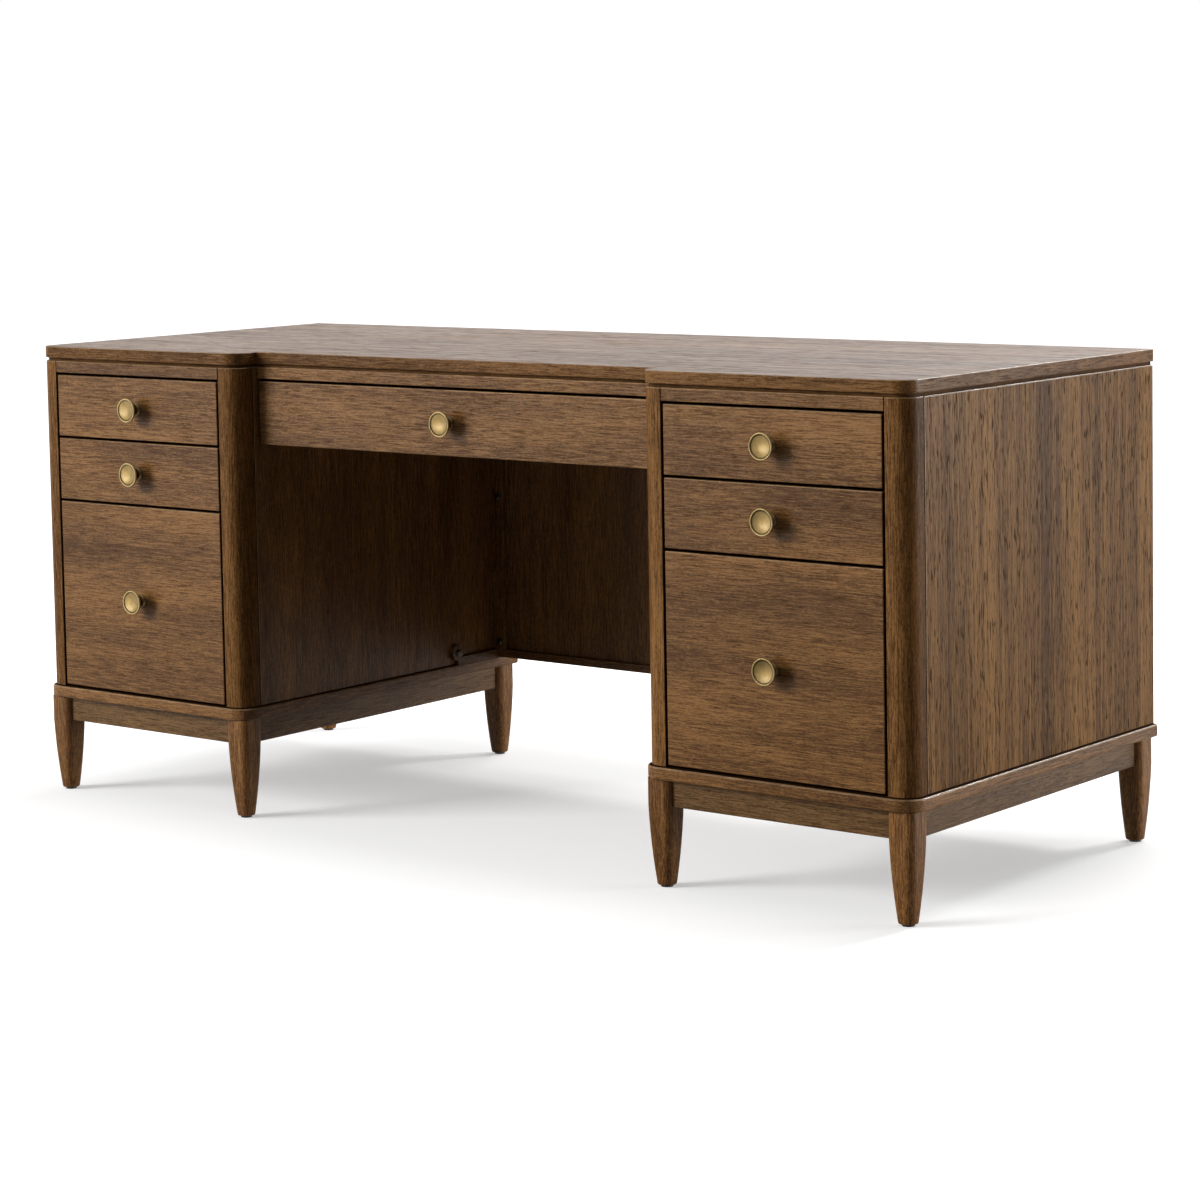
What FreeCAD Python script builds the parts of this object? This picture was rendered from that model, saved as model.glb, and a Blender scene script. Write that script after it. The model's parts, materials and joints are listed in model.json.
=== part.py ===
import FreeCAD, Part
import os
import re
import Sketcher

# Breakfront pedestal desk: two three-drawer pedestals on tapered legs, a wide centre
# drawer between them and one shaped top over all. Millimetres, X to the right, Y to the
# rear, Z up, with the origin on the floor under the middle of the desk.

driving_sizes = [
    ("desk_width", 1750, "top, left to right"),
    ("desk_depth", 690, "top, front to rear"),
    ("desk_height", 762, "floor to the top's upper face"),
    ("pedestal_width", 464, "one pedestal over its outer faces"),
    ("centre_setback", 48, "top's middle front edge behind its pedestal front edges"),
    ("top_thickness", 19, "visible edge of the top"),
    ("top_overhang", 1, "top past the pedestal faces"),
    ("top_edge_radius", 1.2, "eased edges of the top"),
    ("reveal_height", 5, "shadow gap under the top"),
    ("reveal_depth", 5, "shadow gap, in from the top's edge"),
    ("corner_radius", 28, "round on the front corner posts"),
    ("rear_corner_radius", 3, "eased rear corners"),
    ("post_width", 40, "corner post across the front"),
    ("post_depth", 40, "corner post along the side"),
    ("panel_thickness", 20, "pedestal side panels"),
    ("back_thickness", 16, "pedestal back panels"),
    ("back_inset", 2, "back panels in from the rear edges of the side panels"),
    ("rail_height", 20, "front rails under the top"),
    ("rail_thickness", 22, "front rails, front to rear"),
    ("cleat_size", 18, "square battens that hold the top down"),
    ("cleat_end_space", 30, "free length at each end of those battens"),
    ("leg_height", 163, "floor to the base board"),
    ("leg_width", 44, "square head of a leg"),
    ("leg_edge_radius", 12, "rounded edges of a leg"),
    ("foot_width", 27, "leg at its foot"),
    ("leg_swell", 2.4, "leg's width past a straight taper, halfway down"),
    ("glide_diameter", 18, "pad under a foot"),
    ("glide_height", 3, "pad under a foot"),
    ("apron_height", 41, "aprons between the legs"),
    ("apron_thickness", 20, "aprons between the legs"),
    ("apron_setback", 10, "aprons behind the outer faces of the legs"),
    ("base_thickness", 19, "board that a pedestal stands on"),
    ("base_overhang", 6, "base board past the pedestal faces"),
    ("base_edge_radius", 3, "rounded edge of the base board"),
    ("base_rear_radius", 9, "rear corners of the base board"),
    ("drawer_gap", 3.5, "gap round each drawer front"),
    ("shallow_height", 103.5, "fronts of the shallow drawers and of the centre drawer"),
    ("front_thickness", 20, "drawer fronts"),
    ("front_edge_radius", 1.2, "eased edges of the drawer fronts"),
    ("centre_drawer_setback", 3, "centre drawer behind the top's edge above it"),
    ("box_wall", 12, "drawer box sides, front and back"),
    ("box_floor", 6, "drawer box bottom panel"),
    ("bottom_recess", 9, "bottom panel above the lower edges of the box"),
    ("box_lift", 12, "box above the lower edge of its front"),
    ("box_drop", 14, "box below the upper edge of its front"),
    ("file_box_drop", 55, "box below the upper edge of the deep front"),
    ("drawer_rear_space", 110, "room behind a pedestal drawer"),
    ("centre_rear_space", 130, "room behind the centre drawer"),
    ("runner_thickness", 13, "drawer runner, side to side"),
    ("runner_height", 36, "fixed channel of a runner"),
    ("runner_wall", 1.5, "sheet metal of a runner"),
    ("runner_clearance", 0.4, "running gap between runner members"),
    ("runner_rise", 38, "runner's middle above the box's lower edge"),
    ("runner_end_space", 4, "runner behind the drawer front"),
    ("packer_margin", 7, "packing strip above and below its runner"),
    ("knob_diameter", 40, "dished knob"),
    ("knob_projection", 24, "knob's rim in front of the drawer front"),
    ("knob_head", 9, "knob's head, front to rear"),
    ("knob_edge", 4, "edge of the knob's head"),
    ("knob_edge_radius", 1, "rounded edges of the knob's rim"),
    ("knob_rim", 2.6, "width of the rim round the dish"),
    ("knob_dish", 3, "depth of the dish"),
    ("knob_neck", 16, "diameter of the knob's neck"),
    ("knob_foot", 22, "diameter of the neck's foot"),
    ("knob_foot_height", 3, "foot of the neck"),
    ("modesty_thickness", 16, "panel across the rear of the kneehole"),
    ("modesty_inset", 32, "that panel in from the pedestals' rear faces"),
    ("corner_cleat_width", 25, "upright cleats in the kneehole corners"),
    ("corner_cleat_depth", 8, "upright cleats and bottom rail, front to rear"),
    ("bottom_rail_height", 14, "rail along the foot of the modesty panel, and the straps"),
    ("strap_thickness", 8, "straps along the pedestals at the foot of the kneehole"),
    ("strap_length", 108, "middle of a strap's round end to the bottom rail"),
    ("strap_end_diameter", 28, "round end of a strap"),
    ("strap_end_rise", 8, "round end above the base board"),
    ("rail_bead_radius", 1.5, "eased upper edge of the modesty panel's bottom rail"),
    ("bolt_head", 13, "diameter of the domed bolt heads"),
    ("bolt_dome", 4, "height of the domed bolt heads"),
    ("bolt_shank", 6, "diameter of the bolts"),
    ("screw_head", 9, "diameter of the knob screws' heads"),
    ("screw_head_height", 2.5, "height of the knob screws' heads"),
    ("screw_shank", 4, "diameter of the knob screws"),
    ("screw_bite", 10, "length of a knob screw inside its knob"),
    ("fastener_fit", 0.2, "holes past their bolts and screws, across the diameter"),
    ("upper_bolt_height", 286, "upper cleat bolt above the base board"),
    ("lower_bolt_height", 28, "lower cleat bolt above the base board"),
]

doc = FreeCAD.newDocument("pedestal_desk")
sheet = doc.addObject("Spreadsheet::Sheet", "dims")
for row, (alias, size, note) in enumerate(driving_sizes, 1):
    sheet.set(f"A{row}", note)
    sheet.set(f"B{row}", str(size))
    sheet.setAlias(f"B{row}", alias)
doc.recompute()
size_names = {alias for alias, size, note in driving_sizes}
hands = (("left", -1), ("right", 1))
nodes = []
tolerance = 0.01
round_share = 0.45  # largest edge round, as a share of the piece's thickness
dome_share = 0.9  # round of a bolt's or screw's head, as a share of its height

# Places that many pieces share, as formulas of the driving sizes
outer_face = "(desk_width / 2 - top_overhang)"
inner_face = f"({outer_face} - pedestal_width)"
pedestal_middle = f"({outer_face} - pedestal_width / 2)"
opening_width = "(pedestal_width - 2 * post_width)"
case_depth = "(desk_depth - 2 * top_overhang)"
case_front = f"((knob_projection - base_overhang - {case_depth}) / 2)"
case_rear = f"({case_front} + {case_depth})"
top_front = f"({case_front} - top_overhang)"
under_top = "(desk_height - top_thickness - reveal_height)"
case_bottom = "(leg_height + base_thickness)"
case_height = f"({under_top} - {case_bottom})"
opening_top = f"({under_top} - rail_height)"
box_space = f"({case_depth} - front_thickness - back_thickness - back_inset)"
pedestal_box_length = f"({box_space} - drawer_rear_space)"
modesty_front = f"({case_rear} - modesty_inset - modesty_thickness)"
kneehole_rear = f"({modesty_front} - corner_cleat_depth)"
centre_front = f"({top_front} + centre_setback + centre_drawer_setback)"
centre_box_length = f"({kneehole_rear} - {centre_front} - front_thickness - centre_rear_space)"
nested_height = "(runner_height - 2 * runner_wall - 2 * runner_clearance)"
bolt_hole = "(bolt_shank + fastener_fit) / 2"
screw_hole = "(screw_shank + fastener_fit) / 2"


def formula(text):
    return re.sub(r"[a-z_]+", lambda word: prefixed(word.group(0)), text)


def prefixed(word):
    return "dims." + word if word in size_names else word


def value(text):
    return sheet.evalExpression(formula(text))


def bind(item, **properties):
    for name, text in properties.items():
        item.setExpression(name.replace("__", "."), formula(text))


def place(item, x, y, z):
    bind(item, Placement__Base__x=x, Placement__Base__y=y, Placement__Base__z=z)


def turn(item, axis, degrees):
    item.Placement = FreeCAD.Placement(FreeCAD.Vector(), FreeCAD.Rotation(axis, degrees))


def node(item, label):
    item.Label = label
    nodes.append(item)


def group(label, members):
    compound = doc.addObject("Part::Compound", label)
    compound.Links = members
    node(compound, label)


def on_side(side, x):
    return x if side > 0 else f"-({x})"


# Lower X of a piece that lies between two distances from the desk's middle
def low_x(side, near, far):
    return near if side > 0 else f"-({far})"


def board(name, x, y, z, length, width, height):
    box = doc.addObject("Part::Box", name)
    bind(box, Length=length, Width=width, Height=height)
    place(box, x, y, z)
    return box


def new_body(name):
    return doc.addObject("PartDesign::Body", name)


def new_sketch(body, name, role, offset="0"):
    sketch = body.newObject("Sketcher::SketchObject", name)
    plane = next(item for item in body.Origin.OriginFeatures if item.Role == role)
    sketch.AttachmentSupport = [(plane, "")]
    sketch.MapMode = "FlatFace"
    bind(sketch, AttachmentOffset__Base__z=offset)
    return sketch


# Ties one coordinate of a sketch point to the sheet, or to an axis where it is plain zero
def tie_point(sketch, kind, geometry, vertex, text):
    if re.search("[a-z]", text):
        constraint = Sketcher.Constraint(kind, -1, 1, geometry, vertex, value(text))
        number = sketch.addConstraint(constraint)
        sketch.setExpression(f"Constraints[{number}]", formula(text))
    else:
        axis = -2 if kind == "DistanceX" else -1
        sketch.addConstraint(Sketcher.Constraint("PointOnObject", geometry, vertex, axis))


# Chain of straight lines through the points, each corner tied to the sheet
def draw_lines(sketch, corners, closed=True):
    points = [FreeCAD.Vector(value(x), value(y), 0) for x, y in corners]
    pairs = list(zip(points, points[1:] + points[:1]))
    lines = pairs if closed else pairs[:-1]
    for first, last in lines:
        sketch.addGeometry(Part.LineSegment(first, last), False)
    for index in range(len(lines) if closed else len(lines) - 1):
        following = (index + 1) % len(lines)
        sketch.addConstraint(Sketcher.Constraint("Coincident", index, 2, following, 1))
    for index, (x, y) in enumerate(corners):
        geometry, vertex = (index, 1) if index < len(lines) else (index - 1, 2)
        tie_point(sketch, "DistanceX", geometry, vertex, x)
        tie_point(sketch, "DistanceY", geometry, vertex, y)


def draw_circle(sketch, x, y, radius):
    centre = FreeCAD.Vector(value(x), value(y), 0)
    sketch.addGeometry(Part.Circle(centre, FreeCAD.Vector(0, 0, 1), value(radius)), False)
    tie_point(sketch, "DistanceX", 0, 3, x)
    tie_point(sketch, "DistanceY", 0, 3, y)
    number = sketch.addConstraint(Sketcher.Constraint("Radius", 0, value(radius)))
    sketch.setExpression(f"Constraints[{number}]", formula(radius))


def pad(body, name, sketch, length, backwards=False):
    feature = body.newObject("PartDesign::Pad", name)
    feature.Profile = sketch
    feature.Reversed = backwards
    bind(feature, Length=length)
    doc.recompute()


def bore(body, name, sketch):
    before = body.Shape.Volume
    pocket = body.newObject("PartDesign::Pocket", name)
    pocket.Profile = sketch
    pocket.Type = "ThroughAll"
    pocket.Midplane = True
    doc.recompute()
    if not body.Shape.Volume < before:
        raise RuntimeError(name + " cuts nothing")


# Rounds the edges of the body's last feature that the test picks
def round_edges(body, name, radius, picks):
    base = body.Tip
    edges = enumerate(base.Shape.Edges, 1)
    chosen = [f"Edge{number}" for number, edge in edges if picks(edge)]
    fillet = body.newObject("PartDesign::Fillet", name)
    fillet.Base = (base, chosen)
    bind(fillet, Radius=radius)
    doc.recompute()


def close(first, second):
    return abs(first - second) < tolerance


def upright_at(corners):
    spots = [(value(x), value(y)) for x, y in corners]

    def picks(edge):
        first, last = edge.Vertexes[0].Point, edge.Vertexes[-1].Point
        upright = close(first.x, last.x) and close(first.y, last.y) and not close(first.z, last.z)
        return upright and any(close(first.x, x) and close(first.y, y) for x, y in spots)
    return picks


# Picks the outer edges of the body's flat faces at the given heights
def outline_at(body, *heights):
    levels = [value(height) for height in heights]
    flat = [face for face in body.Tip.Shape.Faces if close(face.BoundBox.ZLength, 0)]
    chosen = [face for face in flat if any(close(face.BoundBox.ZMin, level) for level in levels)]
    outline = [edge for face in chosen for edge in face.OuterWire.Edges]
    return lambda edge: any(edge.isSame(other) for other in outline)


def on_front(edge):
    return all(close(point.Point.y, 0) for point in edge.Vertexes)


# Board with one corner at its own origin, ready for rounded edges
def shaped_board(name, x, y, z, length, width, height):
    body = new_body(name)
    sketch = new_sketch(body, name + "_outline", "XY_Plane")
    draw_lines(sketch, [("0", "0"), (length, "0"), (length, width), ("0", width)])
    pad(body, name + "_board", sketch, height)
    place(body, x, y, z)
    return body


# Top: forward over the pedestals and set back over the kneehole
def breakfront(inset):
    half = f"(desk_width / 2 - {inset})"
    lobe = f"({inner_face} - top_overhang + {inset})"
    front = f"({top_front} + {inset})"
    middle = f"({top_front} + centre_setback + {inset})"
    rear = f"({top_front} + desk_depth - {inset})"
    right = [(lobe, middle), (lobe, front), (half, front), (half, rear)]
    left = [("-" + x, y) for x, y in reversed(right)]
    return right + left


# The top's edge is eased, and a rebate under it makes the shadow gap
def make_top():
    body = new_body("desk_top")
    rebate, slab = breakfront("reveal_depth"), breakfront("0")
    slab_bottom = "(desk_height - top_thickness)"
    slab_corner = "corner_radius + top_overhang"
    rebate_sketch = new_sketch(body, "rebate_outline", "XY_Plane", under_top)
    draw_lines(rebate_sketch, rebate)
    pad(body, "rebate", rebate_sketch, "reveal_height")
    round_edges(body, "rebate_fronts", f"max({slab_corner} - reveal_depth; reveal_height)",
                upright_at(rebate[1:3] + rebate[5:7]))
    slab_sketch = new_sketch(body, "slab_outline", "XY_Plane", slab_bottom)
    draw_lines(slab_sketch, slab)
    pad(body, "slab", slab_sketch, "top_thickness")
    round_edges(body, "slab_fronts", slab_corner, upright_at(slab[1:3] + slab[5:7]))
    round_edges(body, "slab_rears", "rear_corner_radius", upright_at(slab[3:5]))
    round_edges(body, "slab_edge", f"min(top_edge_radius; {round_share} * top_thickness)",
                outline_at(body, "desk_height", slab_bottom))
    node(body, "desk_top")


# Pedestal case: rounded front posts, side panels, back panel and front rail
def make_case(name, side):
    for column in ("inner", "outer"):
        right_hand = (column == "outer") == (side > 0)
        post = f"{name}_{column}_post"
        make_upright(post, side, column, case_front, "post_width", "post_depth",
                     "corner_radius", "post_width" if right_hand else "0", "0")
        panel = f"{name}_{column}_side_panel"
        depth = f"({case_depth} - post_depth)"
        make_upright(panel, side, column, f"{case_front} + post_depth", "panel_thickness", depth,
                     "rear_corner_radius", "panel_thickness" if right_hand else "0", depth)
    back_x = low_x(side, f"{inner_face} + panel_thickness", f"{outer_face} - panel_thickness")
    back = board(f"{name}_back", back_x, f"{case_rear} - back_inset - back_thickness", case_bottom,
                 "pedestal_width - 2 * panel_thickness", "back_thickness", case_height)
    node(back, f"{name}_back_panel")
    rail_x = low_x(side, f"{inner_face} + post_width", f"{outer_face} - post_width")
    rail = board(f"{name}_rail", rail_x, case_front, opening_top,
                 opening_width, "rail_thickness", "rail_height")
    node(rail, f"{name}_top_rail")


# Post or panel as tall as the case, flush with a pedestal's inner or outer face
def make_upright(label, side, column, y, width, depth, radius, round_x, round_y):
    if column == "outer":
        x = low_x(side, f"{outer_face} - {width}", outer_face)
    else:
        x = low_x(side, inner_face, f"{inner_face} + {width}")
    body = shaped_board(label, x, y, case_bottom, width, depth, case_height)
    round_edges(body, label + "_round", radius, upright_at([(round_x, round_y)]))
    node(body, label)


def make_base_board(name, side):
    label = f"{name}_base_board"
    width = "(pedestal_width + 2 * base_overhang)"
    depth = f"({case_depth} + 2 * base_overhang)"
    x = low_x(side, f"{inner_face} - base_overhang", f"{outer_face} + base_overhang")
    body = shaped_board(label, x, f"{case_front} - base_overhang", "leg_height",
                        width, depth, "base_thickness")
    round_edges(body, label + "_fronts", "corner_radius + base_overhang",
                upright_at([("0", "0"), (width, "0")]))
    round_edges(body, label + "_rears", "base_rear_radius", upright_at([("0", depth), (width, depth)]))
    round_edges(body, label + "_edge", f"min(base_edge_radius; {round_share} * base_thickness)",
                outline_at(body, "0", "base_thickness"))
    node(body, label)


# Leg: square head as deep as the apron, then a swelled taper to a nearly round foot
def make_leg(name, x, y):
    body = new_body(name)
    knee_height = "(leg_height - apron_height)"
    shin_height = f"(({knee_height} + glide_height) / 2)"
    shin_width = "((leg_width + foot_width) / 2 + leg_swell)"
    profiles = []
    for part, width, height in (("head", "leg_width", knee_height),
                                ("knee", "leg_width", knee_height),
                                ("shin", shin_width, shin_height),
                                ("foot", "foot_width", "glide_height")):
        sketch = new_sketch(body, f"{name}_{part}", "XY_Plane", height)
        half, minus = f"{width} / 2", f"-{width} / 2"
        draw_lines(sketch, [(minus, minus), (half, minus), (half, half), (minus, half)])
        profiles.append(sketch)
    head, knee, shin, foot = profiles
    pad(body, name + "_block", head, "apron_height")
    taper = body.newObject("PartDesign::AdditiveLoft", name + "_taper")
    taper.Profile = knee
    taper.Sections = [shin, foot]
    taper.Ruled = True
    doc.recompute()

    def along_leg(edge):
        return not close(edge.Vertexes[0].Point.z, edge.Vertexes[-1].Point.z)
    round_edges(body, name + "_edges", f"min(leg_edge_radius; {round_share} * foot_width)", along_leg)
    place(body, x, y, "0")
    return body


def make_leg_frame(name, side, glides):
    legs, aprons = [], []
    for column, distance in (("inner", f"{inner_face} + leg_width / 2"),
                             ("outer", f"{outer_face} - leg_width / 2")):
        for row, y in (("front", f"{case_front} + leg_width / 2"),
                       ("rear", f"{case_rear} - leg_width / 2")):
            x = on_side(side, distance)
            legs.append(make_leg(f"{name}_{column}_{row}_leg", x, y))
            glide = doc.addObject("Part::Cylinder", f"{name}_{column}_{row}_glide")
            bind(glide, Radius="glide_diameter / 2", Height="glide_height")
            place(glide, x, y, "0")
            glides.append(glide)
    apron_bottom = "leg_height - apron_height"
    across_x = low_x(side, f"{inner_face} + leg_width", f"{outer_face} - leg_width")
    for row, y in (("front", f"{case_front} + apron_setback"),
                   ("rear", f"{case_rear} - apron_setback - apron_thickness")):
        aprons.append(board(f"{name}_{row}_apron", across_x, y, apron_bottom,
                            "pedestal_width - 2 * leg_width", "apron_thickness", "apron_height"))
    inner_apron, outer_apron = f"{inner_face} + apron_setback", f"{outer_face} - apron_setback"
    for column, near, far in (("inner", inner_apron, f"{inner_apron} + apron_thickness"),
                              ("outer", f"{outer_apron} - apron_thickness", outer_apron)):
        aprons.append(board(f"{name}_{column}_apron", low_x(side, near, far),
                            f"{case_front} + leg_width", apron_bottom,
                            "apron_thickness", f"{case_depth} - 2 * leg_width", "apron_height"))
    group(f"{name}_legs", legs)
    group(f"{name}_aprons", aprons)


# Battens inside a pedestal, under the top, that hold it down
def make_top_cleats(name, side):
    length = f"({case_depth} - post_depth - back_inset - back_thickness - 2 * cleat_end_space)"
    inner_near = f"{inner_face} + panel_thickness"
    outer_far = f"{outer_face} - panel_thickness"
    cleats = []
    for column, near, far in (("inner", inner_near, f"{inner_near} + cleat_size"),
                              ("outer", f"{outer_far} - cleat_size", outer_far)):
        cleats.append(board(f"{name}_{column}_top_cleat", low_x(side, near, far),
                            f"{case_front} + post_depth + cleat_end_space", f"{under_top} - cleat_size",
                            "cleat_size", length, "cleat_size"))
    return cleats


# Kneehole: front rail, modesty panel and its bottom rail, corner cleats, straps and bolts
def make_kneehole():
    width = f"2 * {inner_face}"
    rail = board("kneehole_rail", f"-{inner_face}", centre_front, opening_top,
                 width, "rail_thickness", "rail_height")
    node(rail, "centre_top_rail")
    panel = board("kneehole_back", f"-{inner_face}", modesty_front, case_bottom,
                  width, "modesty_thickness", case_height)
    node(panel, "modesty_panel")
    bottom = shaped_board("bottom_rail", f"-{inner_face}", kneehole_rear, case_bottom,
                          width, "corner_cleat_depth", "bottom_rail_height")
    upper = outline_at(bottom, "bottom_rail_height")
    round_edges(bottom, "bottom_rail_bead", "rail_bead_radius",
                lambda edge: upper(edge) and on_front(edge))
    node(bottom, "modesty_bottom_rail")
    bolts = []
    cleats = [make_corner_cleat(name, side, bolts) for name, side in hands]
    straps = [make_strap(name, side, bolts) for name, side in hands]
    group("kneehole_corner_cleats", cleats)
    group("kneehole_straps", straps)
    group("kneehole_bolts", bolts)


def make_corner_cleat(name, side, bolts):
    label = f"{name}_corner_cleat"
    x = low_x(side, f"{inner_face} - corner_cleat_width", inner_face)
    body = shaped_board(label, x, kneehole_rear, f"{case_bottom} + bottom_rail_height",
                        "corner_cleat_width", "corner_cleat_depth", f"{case_height} - bottom_rail_height")
    for level in ("upper", "lower"):
        rise = f"{level}_bolt_height"
        sketch = new_sketch(body, f"{label}_{level}_circle", "XZ_Plane")
        draw_circle(sketch, "corner_cleat_width / 2", f"{rise} - bottom_rail_height", bolt_hole)
        bore(body, f"{label}_{level}_hole", sketch)
        bolt = make_fastener(f"{label}_{level}_bolt", "bolt_head", "bolt_dome", "bolt_shank",
                             "corner_cleat_depth")
        turn(bolt, FreeCAD.Vector(1, 0, 0), 90)
        place(bolt, f"{x} + corner_cleat_width / 2", kneehole_rear, f"{case_bottom} + {rise}")
        bolts.append(bolt)
    return body


# Strap: a low batten that widens to a bolted round end
def make_strap(name, side, bolts):
    label = f"{name}_strap"
    body = new_body(label)
    batten = new_sketch(body, label + "_batten_outline", "YZ_Plane")
    draw_lines(batten, [("0", "0"), ("strap_length", "0"), ("strap_length", "bottom_rail_height"),
                        ("0", "bottom_rail_height")])
    pad(body, label + "_batten", batten, "strap_thickness")
    middle_height = "(strap_end_rise + strap_end_diameter / 2)"
    disc = new_sketch(body, label + "_end_outline", "YZ_Plane")
    draw_circle(disc, "0", middle_height, "strap_end_diameter / 2")
    pad(body, label + "_end", disc, "strap_thickness")
    hole = new_sketch(body, label + "_circle", "YZ_Plane")
    draw_circle(hole, "0", middle_height, bolt_hole)
    bore(body, label + "_hole", hole)
    y = f"{kneehole_rear} - strap_length"
    place(body, low_x(side, f"{inner_face} - strap_thickness", inner_face), y, case_bottom)
    bolt = make_fastener(label + "_bolt", "bolt_head", "bolt_dome", "bolt_shank", "strap_thickness")
    turn(bolt, FreeCAD.Vector(0, 1, 0), -90 if side > 0 else 90)
    place(bolt, on_side(side, f"{inner_face} - strap_thickness"), y, f"{case_bottom} + {middle_height}")
    bolts.append(bolt)
    return body


# Domed bolt or screw with its head's seat at its own origin and its head towards +Z
def make_fastener(name, head_diameter, dome, shank_diameter, grip):
    body = new_body(name)
    head = new_sketch(body, name + "_head_outline", "XY_Plane")
    draw_circle(head, "0", "0", f"{head_diameter} / 2")
    pad(body, name + "_head", head, dome)
    round_edges(body, name + "_dome", f"{dome_share} * {dome}", outline_at(body, dome))
    shank = new_sketch(body, name + "_shank_outline", "XY_Plane")
    draw_circle(shank, "0", "0", f"{shank_diameter} / 2")
    pad(body, name + "_shank", shank, grip, backwards=True)
    return body


# Turned knob: a foot with a screw hole, a neck and a head dished inside a rounded rim
def make_knob(name, x, y, z):
    label = name + "_turned_knob"
    body = new_body(label)
    sketch = new_sketch(body, label + "_profile", "XZ_Plane")
    radius, neck = "knob_diameter / 2", "knob_neck / 2"
    dish_radius = "(knob_diameter / 2 - knob_rim)"
    dish_bottom = "(knob_projection - knob_dish)"
    draw_lines(sketch, [("0", dish_bottom), ("0", "screw_bite"), (screw_hole, "screw_bite"),
                        (screw_hole, "0"), ("knob_foot / 2", "0"),
                        ("knob_foot / 2", "knob_foot_height / 2"), (neck, "knob_foot_height"),
                        (neck, "knob_projection - knob_head"), (radius, "knob_projection - knob_edge"),
                        (radius, "knob_projection"), (dish_radius, "knob_projection")], closed=False)
    curve_radius = f"(({dish_radius} ^ 2 + knob_dish ^ 2) / (2 * knob_dish))"
    centre = FreeCAD.Vector(0, value(f"{dish_bottom} + {curve_radius}"), 0)
    low = FreeCAD.Vector(0, value(dish_bottom), 0)
    high = FreeCAD.Vector(value(dish_radius), value("knob_projection"), 0)
    sag = (high - centre).normalize() + (low - centre).normalize()
    between = centre + sag.normalize() * value(curve_radius)
    arc = sketch.addGeometry(Part.Arc(low, between, high), False)
    sketch.addConstraint(Sketcher.Constraint("Coincident", arc, 1, 0, 1))
    sketch.addConstraint(Sketcher.Constraint("Coincident", arc, 2, arc - 1, 2))
    sketch.addConstraint(Sketcher.Constraint("PointOnObject", arc, 3, -2))
    turned = body.newObject("PartDesign::Revolution", label + "_turned")
    turned.Profile = sketch
    turned.ReferenceAxis = (sketch, ["V_Axis"])
    turned.Angle = 360
    doc.recompute()

    rims = [value(radius), value(dish_radius)]

    def on_rim(edge):
        spots = [point.Point.x for point in edge.Vertexes]
        return len(spots) == 1 and any(close(spots[0], rim) for rim in rims)
    round_edges(body, label + "_rim", "knob_edge_radius", on_rim)
    turn(body, FreeCAD.Vector(1, 0, 0), 90)
    place(body, x, y, z)
    screw = make_fastener(name + "_knob_screw", "screw_head", "screw_head_height", "screw_shank",
                          "box_wall + front_thickness + screw_bite")
    turn(screw, FreeCAD.Vector(1, 0, 0), -90)
    place(screw, x, f"{y} + front_thickness + box_wall", z)
    group(name + "_knob", [body, screw])


# Runner member: a channel whose web and open side face each other across the runner
def make_channel(name, inward, web_outside, web_inside, tip, height, length):
    body = new_body(name)
    half = f"{height} / 2"
    shelf = f"({height} / 2 - runner_wall)"
    outline = [(web_outside, "-" + half), (tip, "-" + half), (tip, "-" + shelf), (web_inside, "-" + shelf),
               (web_inside, shelf), (tip, shelf), (tip, half), (web_outside, half)]
    sketch = new_sketch(body, name + "_section", "XZ_Plane")
    draw_lines(sketch, [(f"{inward} * {x}", y) for x, y in outline])
    pad(body, name + "_channel", sketch, length, backwards=True)
    return body


# One drawer: front, box, knob and runners; a full-extension drawer has carriages as well
def make_drawer(name, middle, width, front, bottom, height, drop, length, full_extension, channels):
    label = name + "_front"
    face = shaped_board(label, f"{middle} - {width} / 2 + drawer_gap", front, bottom,
                        f"({width} - 2 * drawer_gap)", "front_thickness", height)
    round_edges(face, label + "_edge", "front_edge_radius", on_front)
    hole = new_sketch(face, label + "_circle", "XZ_Plane")
    draw_circle(hole, f"{width} / 2 - drawer_gap", f"{height} / 2", screw_hole)
    bore(face, label + "_hole", hole)
    node(face, label)
    make_knob(name, middle, front, f"{bottom} + {height} / 2")
    box_width = f"({width} - 2 * runner_thickness)"
    box_front, box_bottom = f"({front} + front_thickness)", f"({bottom} + box_lift)"
    make_box(name + "_box", f"({middle} - {box_width} / 2)", box_front, box_bottom,
             box_width, length, f"({height} - box_lift - {drop})", f"{height} / 2 - box_lift")
    start = f"{box_front} + runner_end_space"
    reach = f"({length} - runner_end_space)"
    far_tip = "(runner_thickness - runner_wall - runner_clearance)"
    web = "(runner_wall + runner_clearance)"
    members = {"channel": ("0", "runner_wall", far_tip, "runner_height"),
               "slide": ("runner_thickness", "(runner_thickness - runner_wall)", web, nested_height)}
    if full_extension:
        inner_tip, inner_height = f"(2 * {web})", f"({nested_height} - 2 * {web})"
        members["carriage"] = (web, f"({web} + runner_wall)", far_tip, nested_height)
        members["slide"] = ("runner_thickness", "(runner_thickness - runner_wall)", inner_tip, inner_height)
    for kind, (outside, inside, tip, member_height) in members.items():
        pair = []
        for hand, inward in (("left", 1), ("right", -1)):
            member = make_channel(f"{name}_{hand}_{kind}", inward, outside, inside, tip,
                                  member_height, reach)
            place(member, f"{middle} - {inward} * {width} / 2", start, f"{box_bottom} + runner_rise")
            pair.append(member)
        if kind == "channel":
            channels.extend(pair)
        else:
            group(f"{name}_runner_{kind}s", pair)


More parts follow.
